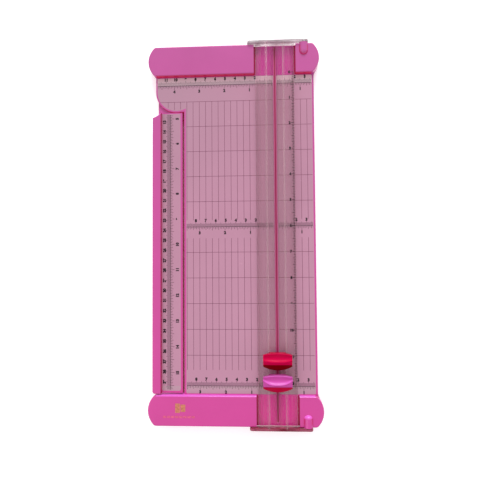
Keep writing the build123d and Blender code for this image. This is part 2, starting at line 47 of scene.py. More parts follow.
import bpy
from mathutils import Matrix, Vector

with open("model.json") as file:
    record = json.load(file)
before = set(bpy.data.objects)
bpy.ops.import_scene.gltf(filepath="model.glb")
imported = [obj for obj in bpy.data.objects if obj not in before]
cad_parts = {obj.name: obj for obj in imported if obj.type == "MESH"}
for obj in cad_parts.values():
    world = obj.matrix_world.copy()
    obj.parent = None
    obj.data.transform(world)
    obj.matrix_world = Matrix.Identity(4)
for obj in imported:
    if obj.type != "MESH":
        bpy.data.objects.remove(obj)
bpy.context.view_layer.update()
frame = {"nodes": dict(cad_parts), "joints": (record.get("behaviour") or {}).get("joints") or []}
NODES = frame["nodes"]

MM = 0.001
CM = 0.01
INCH = 0.0254

# places taken from the frame
LEFT_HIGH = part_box("grid_plate_left")[1]
RIGHT_LOW, RIGHT_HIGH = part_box("grid_plate_right")
STRIP_LOW, STRIP_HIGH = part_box("cutting_strip")
ARM_LOW, ARM_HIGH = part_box("arm_scale_plate")
WASHER_LOW, WASHER_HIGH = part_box("arm_pivot_washer")
DECK_Z = LEFT_HIGH.z
CUT_X = (STRIP_LOW.x + STRIP_HIGH.x) / 2
PIVOT = (WASHER_LOW + WASHER_HIGH) / 2
SPRING_SEAT_Z = DECK_Z + 7 * MM
PRESS = "_press"

# the board
FENCE_Y = 6.25 * INCH
BAR_TOP_Z = DECK_Z + 6 * MM
LOBE_R = 19.5 * MM  # printed part of the round plate over the arm's pivot
OUTER_X, OUTER_Y = 78.5 * MM, 186 * MM  # the outer walls stand beyond these
OUTER_BLEND = 1.5 * MM
BOARD_HALF_L = 190 * MM
RECESS_X, RECESS_HALF_W = 41.6 * MM, 20.8 * MM  # gap in each bar that the rail lies in
RECESS_SHADE_FROM, RECESS_SHADE_FULL = 18.6 * MM, 19.2 * MM
EDGE = 0.1 * MM  # width over which one tone gives way to the next

# the rail
RAIL_TOP_Z = DECK_Z + 6.5 * MM
RIB_MIDDLE = 8.8 * MM  # from the cutting line
RIB_SIDE = 0.9 * MM
RAIL_EDGE_R = 0.28 * MM

# the cross rulers
FAR_RULER_Y, MIDDLE_RULER_Y, NEAR_RULER_Y = 150 * MM, 6.35 * MM, -150.4 * MM
RULER_EDGE = 0.8 * MM


# ------------------------------------------------------------------ settings


def colour_setting(name, description, default):
    return bpy.props.FloatVectorProperty(name=name, description=description, subtype="COLOR", default=default)


def length_setting(name, description, default):
    return bpy.props.FloatProperty(
        name=name, description=description, unit="LENGTH", precision=5, default=default
    )


class BoardColours(bpy.types.PropertyGroup):
    """Colours that a user would change."""

    board_near: colour_setting("Board, near end", "Top faces at the near end", (0.60, 0.05, 0.29))
    board_far: colour_setting("Board, far end", "Top faces at the far end", (0.44, 0.078, 0.272))
    # painted shade: upright faces of the board take this deep crimson in place of the shade that falls on them
    board_side: colour_setting("Board side", "Upright faces of the board", (0.55, 0.003, 0.07))
    # painted highlight: faces turned towards the far end, where the key light stands, take this lighter tone
    board_lit: colour_setting("Board, lit side", "Faces towards the far end", (0.80, 0.14, 0.68))
    # painted light: the recess floors under the rail are lightened and reddened to make up for the shade under
    # the rail and to stand in for light glowing through the plastic
    recess_near: colour_setting("Recess, near end", "Floor of the near recess", (0.86, 0.005, 0.36))
    recess_far: colour_setting("Recess, far end", "Floor of the far recess", (0.56, 0.02, 0.29))
    plate: colour_setting("Plate", "Printed plates", (0.50, 0.24, 0.345))
    ink: colour_setting("Ink", "Numbers and long ticks", (0.01, 0.003, 0.007))
    line_ink: colour_setting("Line ink", "Grid lines", (0.13, 0.035, 0.075))
    strip: colour_setting("Strip", "Groove of the cutting strip", (0.42, 0.002, 0.09))
    strip_edge: colour_setting("Strip edge", "Edges beside the groove", (0.64, 0.11, 0.27))
    cutter: colour_setting("Cutter", "Cutting carriage", (0.55, 0.0, 0.055))
    scorer: colour_setting("Scorer", "Scoring carriage", (0.58, 0.06, 0.36))
    # painted shade: the carriages' sloping noses face away from the light and take these dark tones
    cutter_nose: colour_setting("Cutter nose", "Sloping nose of the cutter", (0.15, 0.0, 0.0))
    scorer_nose: colour_setting("Scorer nose", "Sloping nose of the scorer", (0.42, 0.0, 0.035))


class PrintSizes(bpy.types.PropertyGroup):
    """Sizes of the printed scales."""

    line: length_setting("Line", "Width of a grid line", 0.36 * MM)
    tick: length_setting("Tick", "Width of a ruler tick", 0.33 * MM)
    digit: length_setting("Digit", "Height of the ruler numbers", 2.7 * MM)
    film: length_setting("Film", "Thickness of the print", 0.04 * MM)


# ------------------------------------------------------------------ modelling by hand


def clear_selection():
    if bpy.context.object and bpy.context.object.mode != "OBJECT":
        bpy.ops.object.mode_set(mode="OBJECT")
    bpy.ops.object.select_all(action="DESELECT")


def pick(obj):
    clear_selection()
    obj.select_set(True)
    bpy.context.view_layer.objects.active = obj


def bar(x_low, x_high, y_low, y_high, z):
    """Add one flat rectangle, as an object or to the mesh in edit mode."""
    middle = ((x_low + x_high) / 2, (y_low + y_high) / 2, z)
    bpy.ops.mesh.primitive_plane_add(size=1, location=middle)
    if bpy.context.mode != "EDIT_MESH":
        bpy.ops.object.mode_set(mode="EDIT")
    bpy.ops.transform.resize(value=(x_high - x_low, y_high - y_low, 1), center_override=middle)


def printed(name, bars, z):
    """Bars of print on one face, each (x low, x high, y low, y high), raised to a closed film."""
    film = bpy.context.scene.print_sizes.film
    clear_selection()
    for rectangle in bars:
        bar(*rectangle, z - film / 4)
    bpy.ops.mesh.select_all(action="SELECT")
    bpy.ops.mesh.extrude_region_move(TRANSFORM_OT_translate={"value": (0, 0, film)})
    bpy.ops.mesh.select_all(action="SELECT")
    bpy.ops.mesh.normals_make_consistent(inside=False)
    bpy.ops.object.mode_set(mode="OBJECT")
    made = bpy.context.object
    made.name = name
    apply_place(made)
    return made


def apply_place(obj):
    pick(obj)
    bpy.ops.object.transform_apply(location=True, rotation=True, scale=True)


def apply_modifier(obj, kind, **settings):
    pick(obj)
    modifier = obj.modifiers.new(kind.title(), kind)
    for name, value in settings.items():
        setattr(modifier, name, value)
    bpy.ops.object.modifier_apply(modifier=modifier.name)


def repeat(obj, step, count):
    apply_modifier(
        obj,
        "ARRAY",
        count=count,
        use_relative_offset=False,
        use_constant_offset=True,
        constant_offset_displace=step,
    )


def cut_off(obj, place, away):
    """Bisect a piece and close it, leaving out what lies towards away."""
    pick(obj)
    bpy.ops.object.mode_set(mode="EDIT")
    bpy.ops.mesh.select_all(action="SELECT")
    bpy.ops.mesh.bisect(plane_co=place, plane_no=away, use_fill=True, clear_outer=True)
    bpy.ops.object.mode_set(mode="OBJECT")


def put(obj, turn, place):
    obj.rotation_euler = (0, 0, turn)
    obj.location = place
    apply_place(obj)


def join(name, parts):
    pick(parts[0])
    for part in parts:
        part.select_set(True)
    bpy.ops.object.join()
    parts[0].name = name
    return parts[0]


def label(text, place, height, turn=0.0):
    """A number as a film of print, centred on place."""
    film = bpy.context.scene.print_sizes.film
    figure_share, boldness = 0.7, 0.11  # a figure's height over its font size, and its swelling over its height
    clear_selection()
    bpy.ops.object.text_add()
    made = bpy.context.object
    made.data.body = text
    made.data.size = height / figure_share
    made.data.offset = height * boldness
    made.data.extrude = film / 2
    made.data.resolution_u = 3
    bpy.ops.object.convert(target="MESH")
    bpy.ops.object.origin_set(type="ORIGIN_GEOMETRY", center="BOUNDS")
    put(made, turn, place)
    return made


def merged_copy(name, node):
    """A copy of a CAD node whose loose triangles are merged into whole faces."""
    made = bpy.data.objects.new(name, NODES[node].data.copy())
    bpy.context.scene.collection.objects.link(made)
    made.data.materials.clear()
    pick(made)
    bpy.ops.mesh.customdata_custom_splitnormals_clear()
    bpy.ops.object.mode_set(mode="EDIT")
    bpy.ops.mesh.select_all(action="SELECT")
    bpy.ops.mesh.remove_doubles(threshold=0.5e-6)
    bpy.ops.mesh.dissolve_limited(angle_limit=math.radians(1.5))
    bpy.ops.mesh.normals_make_consistent(inside=False)
    bpy.ops.object.mode_set(mode="OBJECT")
    return made


def round_edges(obj, width, segments, angle=35):
    apply_modifier(
        obj, "BEVEL", width=width, segments=segments, limit_method="ANGLE", angle_limit=math.radians(angle)
    )
    pick(obj)
    bpy.ops.object.shade_smooth_by_angle(angle=math.radians(40))


def dress(obj, material, body):
    """Give a finished piece its material and the body that it rides on."""
    obj.data.materials.clear()
    obj.data.materials.append(material)
    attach(obj, body)
    return obj


def cover(material, *nodes):
    """Give CAD nodes a finish, in their objects' own material slots."""
    for name in nodes:
        node = NODES[name]
        if not node.material_slots:
            node.data.materials.append(None)
        for place in node.material_slots:
            place.link = "OBJECT"
            place.material = material


# ------------------------------------------------------------------ shader maths


class Value:
    """A shader socket that arithmetic can be written with."""

    def __init__(self, finish, socket):
        self.finish = finish
        self.socket = socket

    def maths(self, operation, *values):
        return self.finish.node("ShaderNodeMath", {"operation": operation}, dict(enumerate(values)))

    def __add__(self, other):
        return self.maths("ADD", self, other)

    def __radd__(self, other):
        return self.maths("ADD", other, self)

    def __sub__(self, other):
        return self.maths("SUBTRACT", self, other)

    def __rsub__(self, other):
        return self.maths("SUBTRACT", other, self)

    def __mul__(self, other):
        return self.maths("MULTIPLY", self, other)

    def __rmul__(self, other):
        return self.maths("MULTIPLY", other, self)

    def size(self):
        """Its value without its sign."""
        return self.maths("ABSOLUTE", self)

    def between(self, low, high):
        """0 at low, 1 at high, held outside them."""
        return self.finish.node("ShaderNodeMapRange", {}, {"Value": self, "From Min": low, "From Max": high})


class Finish:
    """A node material under construction."""

    def __init__(self, name):
        self.material = bpy.data.materials.new(name)
        self.material.use_nodes = True
        self.tree = self.material.node_tree
        self.tree.nodes.clear()

    def node(self, kind, settings, sockets, out=0):
        """Add a node: its settings first, then the values or links of its sockets."""
        made = self.tree.nodes.new(kind)
        for name, value in settings.items():
            setattr(made, name, value)
        for name, value in sockets.items():
            if isinstance(value, Value):
                self.tree.links.new(value.socket, made.inputs[name])
            else:
                made.inputs[name].default_value = value
        return Value(self, made.outputs[out]) if len(made.outputs) else None

    def place(self):
        return self.node("ShaderNodeTexCoord", {}, {}, "Object")

    def axis(self, name):
        return self.node("ShaderNodeSeparateXYZ", {}, {0: self.place()}, name)

    def facing(self, name):
        """How far the surface faces along an axis."""
        normal = self.node("ShaderNodeTexCoord", {}, {}, "Normal")
        return self.node("ShaderNodeSeparateXYZ", {}, {0: normal}, name)

    def noise(self, scale, detail=2.0, stretch=None):
        where = self.place()
        if stretch:
            where = self.node("ShaderNodeMapping", {}, {"Vector": where, "Scale": stretch})
        return self.node("ShaderNodeTexNoise", {}, {"Vector": where, "Scale": scale, "Detail": detail})

    def mix(self, factor, low, high):
        return self.node("ShaderNodeMix", {"data_type": "RGBA"}, {0: factor, 6: low, 7: high}, 2)

    def bump(self, height, strength, distance):
        return self.node("ShaderNodeBump", {}, {"Height": height, "Strength": strength, "Distance": distance})

    def principled(self, **sockets):
        return self.node("ShaderNodeBsdfPrincipled", {}, {k.replace("_", " "): v for k, v in sockets.items()})

    def done(self, shader):
        self.node("ShaderNodeOutputMaterial", {}, {"Surface": shader})
        return self.material


def tone(colour, by=1.0):
    """A colour with its alpha, lightened or darkened."""
    return (*(min(1.0, part * by) for part in colour), 1.0)


def recess_floor(f, top, near, far, deep):
    """Blend the tone of the two recesses under the rail into a top tone, with painted shade along their walls.
    """
    off_middle = (f.axis("X") - RECESS_X).size()
    beyond_fence = f.axis("Y").size().between(FENCE_Y, FENCE_Y + EDGE)
    inside = 1 - off_middle.between(RECESS_HALF_W, RECESS_HALF_W + EDGE)
    low = 1 - f.axis("Z").between(DECK_Z + 0.5 * MM, DECK_Z + 1.5 * MM)
    floor = f.mix(f.axis("Y").between(-FENCE_Y, FENCE_Y), tone(near), tone(far))
    # painted shade: the floor turns deep along the recess walls
    shaded = f.mix(off_middle.between(RECESS_SHADE_FROM, RECESS_SHADE_FULL), floor, tone(deep))
    return f.mix(beyond_fence * inside * low, top, shaded)


def moulded(name, near, far, side, lit=None, recess=None, roughness=0.22, shine=0.4, walls=(0.15, 0.9)):
    """Tinted plastic that shifts along the board, with painted shade on its walls, a painted highlight on walls
    that face the far end and its light, and a faint painted glow from its walls.
    """
    f = Finish(name)
    level = f.facing("Z").between(*walls)
    towards_light = f.facing("Y").between(0.15, 0.6)
    cloud = f.noise(26.0, 3.0).between(0.3, 0.7)
    along = f.axis("Y").between(-BOARD_HALF_L, BOARD_HALF_L)
    plain = f.mix(along, tone(near), tone(far))
    pale = f.mix(along, tone(near, 1.07), tone(far, 1.07))
    top = f.mix(cloud, plain, pale)
    if recess:
        top = recess_floor(f, top, *recess)
    # the walls between the board's parts get painted shade, or a painted highlight where they face the far end,
    # and its outer walls keep the near top tone, a little darker where they don't face the far end (a milder
    # painted shade)
    outer_x = f.axis("X").size().between(OUTER_X - OUTER_BLEND, OUTER_X)
    outer_y = f.axis("Y").size().between(OUTER_Y - OUTER_BLEND, OUTER_Y)
    outer = 1 - (1 - outer_x) * (1 - outer_y)
    wall = f.mix(outer, tone(side), tone(near, 0.85))
    lit_wall = f.mix(outer, tone(lit or near), tone(near))
    colour = f.mix(towards_light, f.mix(level, wall, top), lit_wall)
    # painted glow: the inner walls give off a faint light in their shaded or highlighted tone; outer walls and
    # top faces do not glow
    painted_wall_glow = f.mix(outer, f.mix(towards_light, tone(side), tone(lit or near)), tone((0, 0, 0)))
    polish = f.noise(150.0, 4.0)
    return f.done(
        f.principled(
            Base_Color=colour,
            Roughness=polish * 0.12 + (roughness - 0.06),
            Specular_IOR_Level=shine,
            Coat_Weight=level * (shine * 0.5),
            Coat_Roughness=0.1,
            Emission_Color=f.mix(level, painted_wall_glow, tone((0, 0, 0))),
            Emission_Strength=0.14,
            Normal=f.bump(f.noise(2400.0), 0.05, 0.02 * MM),
        )
    )


def printed_plate(name, colour):
    """Satin sheet with a faint cloudiness, a painted reflection that greys its far left corner, silvery beside
    the bars, with painted light beside the far bar against the bar's shadow.
    """
    f = Finish(name)
    # painted reflection: the far left corner turns greyer, as a broad reflection on the sheet
    far_left_reflection = f.axis("Y").between(20 * MM, 160 * MM) * (1 - f.axis("X").between(-60 * MM, 30 * MM))
    cloud = f.noise(22.0, 4.0).between(0.3, 0.75)
    along = f.axis("Y").between(-100 * MM, 140 * MM)
    pale = f.mix(along, tone(colour, 1.035), tone(colour, 0.93))
    deep = f.mix(along, tone(colour, 0.965), tone(colour, 0.86))
    base = f.mix(cloud, deep, pale)
    red, green, blue = colour
    reflection_grey = (red * 0.78, green * 0.9, blue * 0.84)
    silver = (red * 0.92, green * 1.28, blue * 1.02)
    # beside the far bar the band is silvery, and brightened further as painted light that cancels the shadow
    # the bar casts there
    far_silver_and_light = (red * 1.32, green * 1.9, blue * 1.5)
    beside_near_bar = 1 - f.axis("Y").between(NEAR_RULER_Y - RULER_EDGE, NEAR_RULER_Y)
    beside_far_bar = f.axis("Y").between(FAR_RULER_Y, FAR_RULER_Y + RULER_EDGE)
    tinted = f.mix(far_left_reflection * 0.9, base, tone(reflection_grey))
    banded = f.mix(beside_near_bar * 0.75, tinted, tone(silver))
    return f.done(
        f.principled(
            Base_Color=f.mix(beside_far_bar * 0.9, banded, tone(far_silver_and_light)),
            Roughness=f.noise(90.0, 3.0) * 0.1 + 0.2,
            IOR=1.45,
            Coat_Weight=0.2,
            Coat_Roughness=0.12,
            Normal=f.bump(f.noise(1500.0), 0.04, 0.02 * MM),
        )
    )


def ink(name, colour):
    """Screen-printed ink with slightly uneven cover."""
    f = Finish(name)
    cover_noise = f.noise(900.0, 3.0).between(0.35, 0.65)
    return f.done(
        f.principled(
            Base_Color=f.mix(cover_noise, tone(colour), tone(colour, 1.5)),
            Roughness=f.noise(400.0) * 0.15 + 0.35,
            Specular_IOR_Level=0.3,
        )
    )


def clear_plastic(name, tint, body, haze, edge_shade_colour, edge_cover, ribs=False):
    """Tinted see-through plastic, glossier at glancing angles, with painted shade in a deeper tone on its
    edge-on faces.
    """
    f = Finish(name)
    see_through = f.node("ShaderNodeBsdfTransparent", {}, {"Color": tone(tint)})
    smear = f.noise(45.0, 4.0, stretch=(1.0, 0.15, 1.0)).between(0.35, 0.8)
    # painted shade: faces seen edge-on take the deeper edge tone and more cover
    edge = 1 - f.facing("Z").size().between(0.3, 0.97)
    base = f.mix(edge, tone(body), tone(edge_shade_colour))
    if ribs:
        # painted highlight along the middle of the ribs under the rail and painted shade along their sides,
        # standing in for the ribs' reflections
        off_middle = (f.axis("X") - CUT_X).size()
        from_rib = (off_middle - RIB_MIDDLE).size()
        rib_highlight = 1 - from_rib.between(0.08 * MM, 0.26 * MM)
        rib_shade_line = (1 - (from_rib - RIB_SIDE).size().between(0.1 * MM, 0.3 * MM)) * 0.5
        base = f.mix(rib_highlight, f.mix(rib_shade_line, base, tone((0.2, 0.07, 0.1))), tone((0.95, 0.88, 0.78)))
    gloss = f.principled(
        Base_Color=base,
        Roughness=smear * 0.08 + 0.08,
        Normal=f.bump(f.noise(60.0, 3.0, stretch=(1.0, 0.2, 1.0)), 0.1, 0.1 * MM),
    )
    glance = f.node("ShaderNodeFresnel", {}, {"IOR": 1.4})
    cover_share = glance * 0.5 + smear * haze + edge * edge_cover
    if ribs:
        cover_share = cover_share + rib_highlight * 0.1 + rib_shade_line * 0.3
    return f.done(f.node("ShaderNodeMixShader", {}, {0: cover_share, 1: see_through, 2: gloss}))


def rubber(name, colour):
    f = Finish(name)
    grain = f.noise(1800.0, 3.0)
    return f.done(
        f.principled(
            Base_Color=f.mix(f.noise(120.0).between(0.3, 0.7), tone(colour), tone(colour, 1.35)),
            Roughness=f.noise(300.0) * 0.15 + 0.7,
            Normal=f.bump(grain, 0.25, 0.05 * MM),
        )
    )


def metal(name, colour, roughness=0.28):
    """Turned or drawn steel with fine scratches."""
    f = Finish(name)
    scratch = f.noise(700.0, 4.0, stretch=(1.0, 0.12, 1.0))
    return f.done(
        f.principled(
            Base_Color=f.mix(f.noise(200.0).between(0.3, 0.7), tone(colour, 0.9), tone(colour)),
            Metallic=1.0,
            Roughness=scratch * 0.2 + (roughness - 0.1),
            Normal=f.bump(scratch, 0.12, 0.02 * MM),
        )
    )


def channel_plastic(name, base, edge):
    """Cutting strip: deep crimson in the groove, paler along the lands beside it."""
    f = Finish(name)
    groove_half_w = 0.5 * MM
    off_middle = (f.axis("X") - CUT_X).size()
    land = off_middle.between(groove_half_w, groove_half_w + EDGE)
    scuff = f.noise(300.0, 4.0, stretch=(1.0, 0.1, 1.0)).between(0.4, 0.7)
    return f.done(
        f.principled(
            Base_Color=f.mix(land, tone(base), f.mix(scuff, tone(edge), tone(edge, 1.15))),
            Roughness=scuff * 0.2 + 0.3,
            Normal=f.bump(scuff, 0.1, 0.05 * MM),
        )
    )


# ------------------------------------------------------------------ pieces


class SCORING_OT_mouldings(bpy.types.Operator):
    """Finish the board, the arm, the plates, the strip, the feet and the metal parts"""

    bl_idname = "scoring.mouldings"
    bl_label = "Mouldings"

    def execute(self, context):
        colours = context.scene.board_colours
        tones = (colours.board_near, colours.board_far, colours.board_side, colours.board_lit)
        # painted shade: the recess floor turns this deep crimson along the recess walls
        recess_wall_shade = (0.4, 0.0, 0.08)
        recess = (colours.recess_near, colours.recess_far, recess_wall_shade)
        cover(moulded("board plastic", *tones, recess), "base_tray")
        # painted shade: the arm's walls take a deeper crimson than the board's, darkening the gap beside the
        # arm
        arm_shaded_side = (0.34, 0.0, 0.05)
        arm_tones = (colours.board_near, colours.board_far, arm_shaded_side, colours.board_lit)
        cover(moulded("arm plastic", *arm_tones), "swing_arm")
        sheet = printed_plate("plate sheet", colours.plate)
        cover(sheet, "grid_plate_left", "grid_plate_right", "arm_scale_plate")
        cover(channel_plastic("strip plastic", colours.strip, colours.strip_edge), "cutting_strip")
        cover(rubber("foot rubber", (0.03, 0.028, 0.03)), "base_feet", "arm_foot")
        cover(
            metal("plated steel", (0.62, 0.6, 0.58)),
            "arm_pivot_washer",
            "arm_pivot_screw",
            "hinge_pin_top",
            "hinge_pin_bottom",
            "cutter_blade",
            "cutter_blade_pin",
            "scorer_tip_pin",
        )
        return {"FINISHED"}


class SCORING_OT_grid(bpy.types.Operator):
    """Print the grid on both plates"""

    bl_idname = "scoring.grid"
    bl_label = "Grid"

    def execute(self, context):
        sizes = context.scene.print_sizes
        half = sizes.line / 2
        column = INCH / 4
        top_y = FENCE_Y - INCH
        middle_high, middle_low = 13 * MM, -5 * MM  # the uprights stop here, above and below the middle ruler
        near_y = -135 * MM
        left_uprights, right_uprights, rows = 12, 2, 11
        left_end = -48.0 * MM
        lobe_low_x, lobe_high_x = -74.5 * MM, -48.6 * MM
        lobe_rim, plate_rim = 1 * MM, 0.6 * MM

        def upright(name, x, y_low, y_high, count):
            line = printed(name, [(x - half, x + half, y_low, y_high)], DECK_Z)
            repeat(line, (-column, 0, 0), count)
            return line

        parts = []
        runs = (("left", CUT_X - 3 * column, left_uprights), ("right", CUT_X + 5 * column, right_uprights))
        for name, x, count in runs:
            parts.append(upright(name + "_far", x, middle_high, top_y, count))
            parts.append(upright(name + "_near", x, near_y, middle_low, count))
        for k in range(15, 18):
            x = CUT_X - k * column
            reach = math.sqrt(max(0.0, (LOBE_R - lobe_rim) ** 2 - (x - PIVOT.x) ** 2))
            parts.append(upright(f"lobe_{k}", x, PIVOT.y - reach, top_y, 1))

        for name, x_low, x_high in (
            ("left", left_end, LEFT_HIGH.x - plate_rim),
            ("right", RIGHT_LOW.x + plate_rim, RIGHT_HIGH.x - plate_rim),
        ):
            line = printed(name + "_across", [(x_low, x_high, top_y - half, top_y + half)], DECK_Z)
            repeat(line, (0, -INCH, 0), rows)
            parts.append(line)
        lobe_line = printed("lobe_across", [(lobe_low_x, lobe_high_x, top_y - half, top_y + half)], DECK_Z)
        parts.append(lobe_line)
        grid = join("grid_print", parts)
        dress(grid, ink("line ink", context.scene.board_colours.line_ink), "base")
        return {"FINISHED"}


def centimetre_ticks(name, count, side):
    """A run of millimetre ticks on one side of a line along X, starting at the origin."""
    half = bpy.context.scene.print_sizes.tick / 2
    whole, middle, short = 4.9, 4.1, 3.3
    lengths = [whole] + [short] * 4 + [middle] + [short] * 4
    bars = []
    for step, length in enumerate(lengths):
        reach = sorted((0, side * length * MM))
        bars.append((step * MM - half, step * MM + half, *reach))
    run = printed(name, bars, 0)
    repeat(run, (CM, 0, 0), count)
    return run


def sixteenth_length(index):
    """Length in millimetres of the tick at a number of sixteenths of an inch."""
    for every, length in ((16, 4.0), (8, 3.6), (4, 3.0), (2, 2.4)):
        if index % every == 0:
            return length
    return 1.9


def inch_ticks(name, count, side, scale=1.0, bold=1.0):
    """A run of sixteenth-inch ticks on one side of a line along X, starting at the origin."""
    half = bpy.context.scene.print_sizes.tick / 2 * bold
    step = INCH / 16
    bars = []
    for index in range(16):
        reach = sorted((0, side * sixteenth_length(index) * scale * MM))
        bars.append((index * step - half, index * step + half, *reach))
    run = printed(name, bars, 0)
    repeat(run, (INCH, 0, 0), count)
    return run


class SCORING_OT_cross_rulers(bpy.types.Operator):
    """Print the three rulers that run across the board"""

    bl_idname = "scoring.cross_rulers"
    bl_label = "Cross rulers"

    def execute(self, context):
        sizes = context.scene.print_sizes
        half = sizes.line / 2
        left_runs, right_runs = {centimetre_ticks: 12, inch_ticks: 5}, {centimetre_ticks: 4, inch_ticks: 2}
        cm_row, inch_row = 6.4 * MM, 5.9 * MM  # middles of the numbers, from the ruler's line
        left_stop, right_start = LEFT_HIGH.x - 0.5 * MM, RIGHT_LOW.x + 0.5 * MM
        right_end = RIGHT_HIGH.x - 0.6 * MM
        lobe_end, deck_end = -76.6 * MM, -47.8 * MM
        parts = []
        rulers = (
            ("top", FAR_RULER_Y, lobe_end, 11, 4),
            ("middle", MIDDLE_RULER_Y, deck_end, 8, 3),
            ("near", NEAR_RULER_Y, deck_end, 8, 3),
        )
        for name, y, left_end, last_cm, last_inch in rulers:
            base = [(left_end, left_stop, y - half, y + half), (right_start, right_end, y - half, y + half)]
            parts.append(printed(name + "_base", base, DECK_Z))
            # the left runs count away from the cutting line, so they are turned half way round
            for maker, side in ((centimetre_ticks, 1), (inch_ticks, -1)):
                left = maker(f"{name}_{maker.__name__}_left", left_runs[maker], -side)
                put(left, math.pi, (CUT_X, y, DECK_Z))
                cut_off(left, (left_end, 0, 0), (-1, 0, 0))
                cut_off(left, (left_stop, 0, 0), (1, 0, 0))
                right = maker(f"{name}_{maker.__name__}_right", right_runs[maker], side)
                put(right, 0, (CUT_X, y, DECK_Z))
                cut_off(right, (right_start, 0, 0), (-1, 0, 0))
                cut_off(right, (right_end, 0, 0), (1, 0, 0))
                parts += [left, right]
            for n in list(range(2, last_cm + 1)) + [-2, -3]:
                parts.append(label(str(abs(n)), (CUT_X - n * CM, y + cm_row, DECK_Z), sizes.digit))
            for n in list(range(1, last_inch + 1)) + [-1]:
                parts.append(label(str(abs(n)), (CUT_X - n * INCH, y - inch_row, DECK_Z), sizes.digit))
        rulers_print = join("cross_ruler_print", parts)
        dress(rulers_print, ink("ruler ink", context.scene.board_colours.ink), "base")
        return {"FINISHED"}


class SCORING_OT_arm_scale(bpy.types.Operator):
    """Print the scale on the swing-out arm"""

    bl_idname = "scoring.arm_scale"
    bl_label = "Arm scale"

    def execute(self, context):
        sizes = context.scene.print_sizes
        half = sizes.line / 2
        line_x, cm_x, inch_x = -64.2 * MM, -70.2 * MM, -57.2 * MM
        zero_y = 243.3 * MM  # where the scale's zero would stand, beyond the arm
        rim = 0.8 * MM
        low_y, high_y = ARM_LOW.y + rim, ARM_HIGH.y - rim
        parts = [printed("arm_line", [(line_x - half, line_x + half, low_y, high_y)], DECK_Z)]
        for maker, side, count in ((centimetre_ticks, -1, 41), (inch_ticks, 1, 16)):
            ticks = maker("arm_" + maker.__name__, count, side)
            put(ticks, -math.pi / 2, (line_x, zero_y, DECK_Z))
            cut_off(ticks, (0, low_y, 0), (0, -1, 0))
            cut_off(ticks, (0, high_y, 0), (0, 1, 0))
            parts.append(ticks)
        turn = math.pi / 2
        for n in range(13, 40):
            parts.append(label(str(n), (cm_x, zero_y - n * CM, DECK_Z), sizes.digit, turn))
        for n in range(5, 16):
            parts.append(label(str(n), (inch_x, zero_y - n * INCH, DECK_Z), sizes.digit, turn))
        arm_print = join("arm_print", parts)
        dress(arm_print, ink("arm ink", context.scene.board_colours.ink), "arm")
        return {"FINISHED"}


class SCORING_OT_rail(bpy.types.Operator):
    """Finish the clear rail and its ends, and print the rail's inch scale"""

    bl_idname = "scoring.rail"
    bl_label = "Rail"

    def execute(self, context):
        sizes = context.scene.print_sizes
        clear = clear_plastic(
            "clear plastic",
            tint=(0.995, 0.98, 0.982),
            body=(0.95, 0.7, 0.78),
            haze=0.04,
            edge_shade_colour=(0.6, 0.34, 0.42),
            edge_cover=0.15,
            ribs=True,
        )
        far_end = clear_plastic(
            "far end plastic",
            tint=(0.95, 0.95, 0.95),
            body=(0.9, 0.85, 0.87),
            haze=0.55,
            edge_shade_colour=(0.58, 0.53, 0.55),
            edge_cover=0.3,
        )
        # painted light: the near end is hazed and tinted pink with deep pink edges, standing in for the board's
        # colour caught in the clear plastic
        near_end_painted_pink = clear_plastic(
            "near end plastic",
            tint=(0.85, 0.5, 0.58),
            body=(0.6, 0.14, 0.24),
            haze=0.8,
            edge_shade_colour=(0.36, 0.03, 0.08),
            edge_cover=0.3,
        )
        for name, node, finish in (
            ("clear_rail", "guide_rail", clear),
            ("clear_end_far", "rail_end_cap_top", far_end),
            ("clear_end_near", "rail_end_cap_bottom", near_end_painted_pink),
        ):
            part = merged_copy(name, node)
            round_edges(part, RAIL_EDGE_R, 2, 50)
            dress(part, finish, "rail")
            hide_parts(node)
        edge_x, number_x = CUT_X + 18.7 * MM, CUT_X + 14.3 * MM
        number_h = sizes.digit * 0.9
        inches = 12
        ticks = inch_ticks("rail_ticks", inches, -1, scale=0.75, bold=1.5)
        put(ticks, -math.pi / 2, (edge_x, FENCE_Y, RAIL_TOP_Z))
        parts = [ticks]
        for n in range(inches + 1):
            parts.append(label(str(n), (number_x, FENCE_Y - n * INCH, RAIL_TOP_Z), number_h))
        rail_print = join("rail_print", parts)
        dress(rail_print, ink("rail ink", context.scene.board_colours.ink), "rail")
        return {"FINISHED"}


